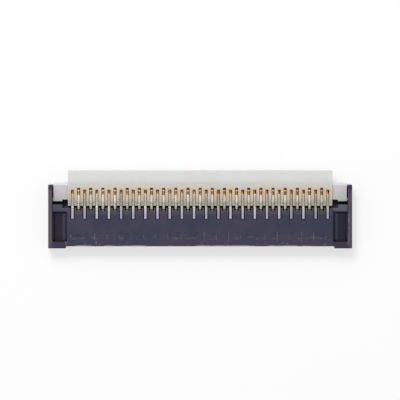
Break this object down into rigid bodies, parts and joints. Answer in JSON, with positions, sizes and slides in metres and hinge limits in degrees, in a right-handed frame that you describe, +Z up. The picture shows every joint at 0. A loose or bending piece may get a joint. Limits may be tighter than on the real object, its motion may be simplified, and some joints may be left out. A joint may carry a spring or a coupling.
{
  "type": "fpc connector",
  "caption": "Low flat-cable connector with a rear flip lever, two staggered rows of blanked contacts and solder hold-downs at both ends.",
  "frame": {"origin": "on the board plane, in the middle of the outline with the lever closed", "axes": "+X along the contact row, +Y towards the lever, away from the side where the cable goes in, +Z up from the board"},
  "size_m": [0.015, 0.0038, 0.001],
  "materials": {
    "housing_plastic": "moulded liquid-crystal polymer, dark blue grey, fine satin",
    "lever_plastic": "moulded liquid-crystal polymer, ivory, slightly translucent, fine satin",
    "rear_tail_contact_metal": "blanked phosphor bronze, plated, satin",
    "front_tail_contact_metal": "blanked phosphor bronze, plated, satin",
    "hold_down_plate": "phosphor bronze, matt tin plated"
  },
  "bodies": {
    "housing": {"housing": "housing_plastic", "hold_down_left": "hold_down_plate", "hold_down_right": "hold_down_plate", "rear_tail_contact_01": "rear_tail_contact_metal", "rear_tail_contact_02": "rear_tail_contact_metal", "rear_tail_contact_03": "rear_tail_contact_metal", "rear_tail_contact_04": "rear_tail_contact_metal", "rear_tail_contact_05": "rear_tail_contact_metal", "rear_tail_contact_06": "rear_tail_contact_metal", "rear_tail_contact_07": "rear_tail_contact_metal", "rear_tail_contact_08": "rear_tail_contact_metal", "rear_tail_contact_09": "rear_tail_contact_metal", "rear_tail_contact_10": "rear_tail_contact_metal", "rear_tail_contact_11": "rear_tail_contact_metal", "rear_tail_contact_12": "rear_tail_contact_metal", "rear_tail_contact_13": "rear_tail_contact_metal", "rear_tail_contact_14": "rear_tail_contact_metal", "rear_tail_contact_15": "rear_tail_contact_metal", "rear_tail_contact_16": "rear_tail_contact_metal", "rear_tail_contact_17": "rear_tail_contact_metal", "rear_tail_contact_18": "rear_tail_contact_metal", "rear_tail_contact_19": "rear_tail_contact_metal", "rear_tail_contact_20": "rear_tail_contact_metal", "rear_tail_contact_21": "rear_tail_contact_metal", "rear_tail_contact_22": "rear_tail_contact_metal", "front_tail_contact_01": "front_tail_contact_metal", "front_tail_contact_02": "front_tail_contact_metal", "front_tail_contact_03": "front_tail_contact_metal", "front_tail_contact_04": "front_tail_contact_metal", "front_tail_contact_05": "front_tail_contact_metal", "front_tail_contact_06": "front_tail_contact_metal", "front_tail_contact_07": "front_tail_contact_metal", "front_tail_contact_08": "front_tail_contact_metal", "front_tail_contact_09": "front_tail_contact_metal", "front_tail_contact_10": "front_tail_contact_metal", "front_tail_contact_11": "front_tail_contact_metal", "front_tail_contact_12": "front_tail_contact_metal", "front_tail_contact_13": "front_tail_contact_metal", "front_tail_contact_14": "front_tail_contact_metal", "front_tail_contact_15": "front_tail_contact_metal", "front_tail_contact_16": "front_tail_contact_metal", "front_tail_contact_17": "front_tail_contact_metal", "front_tail_contact_18": "front_tail_contact_metal", "front_tail_contact_19": "front_tail_contact_metal", "front_tail_contact_20": "front_tail_contact_metal", "front_tail_contact_21": "front_tail_contact_metal"},
    "lever": {"lever": "lever_plastic"}
  },
  "joints": [
    {"name": "lever_flip", "type": "hinge", "parent": "housing", "child": "lever", "pos_m": [0, 0.00049, 0.00052], "axis": [1, 0, 0], "range_deg": [0, 90]}
  ]
}
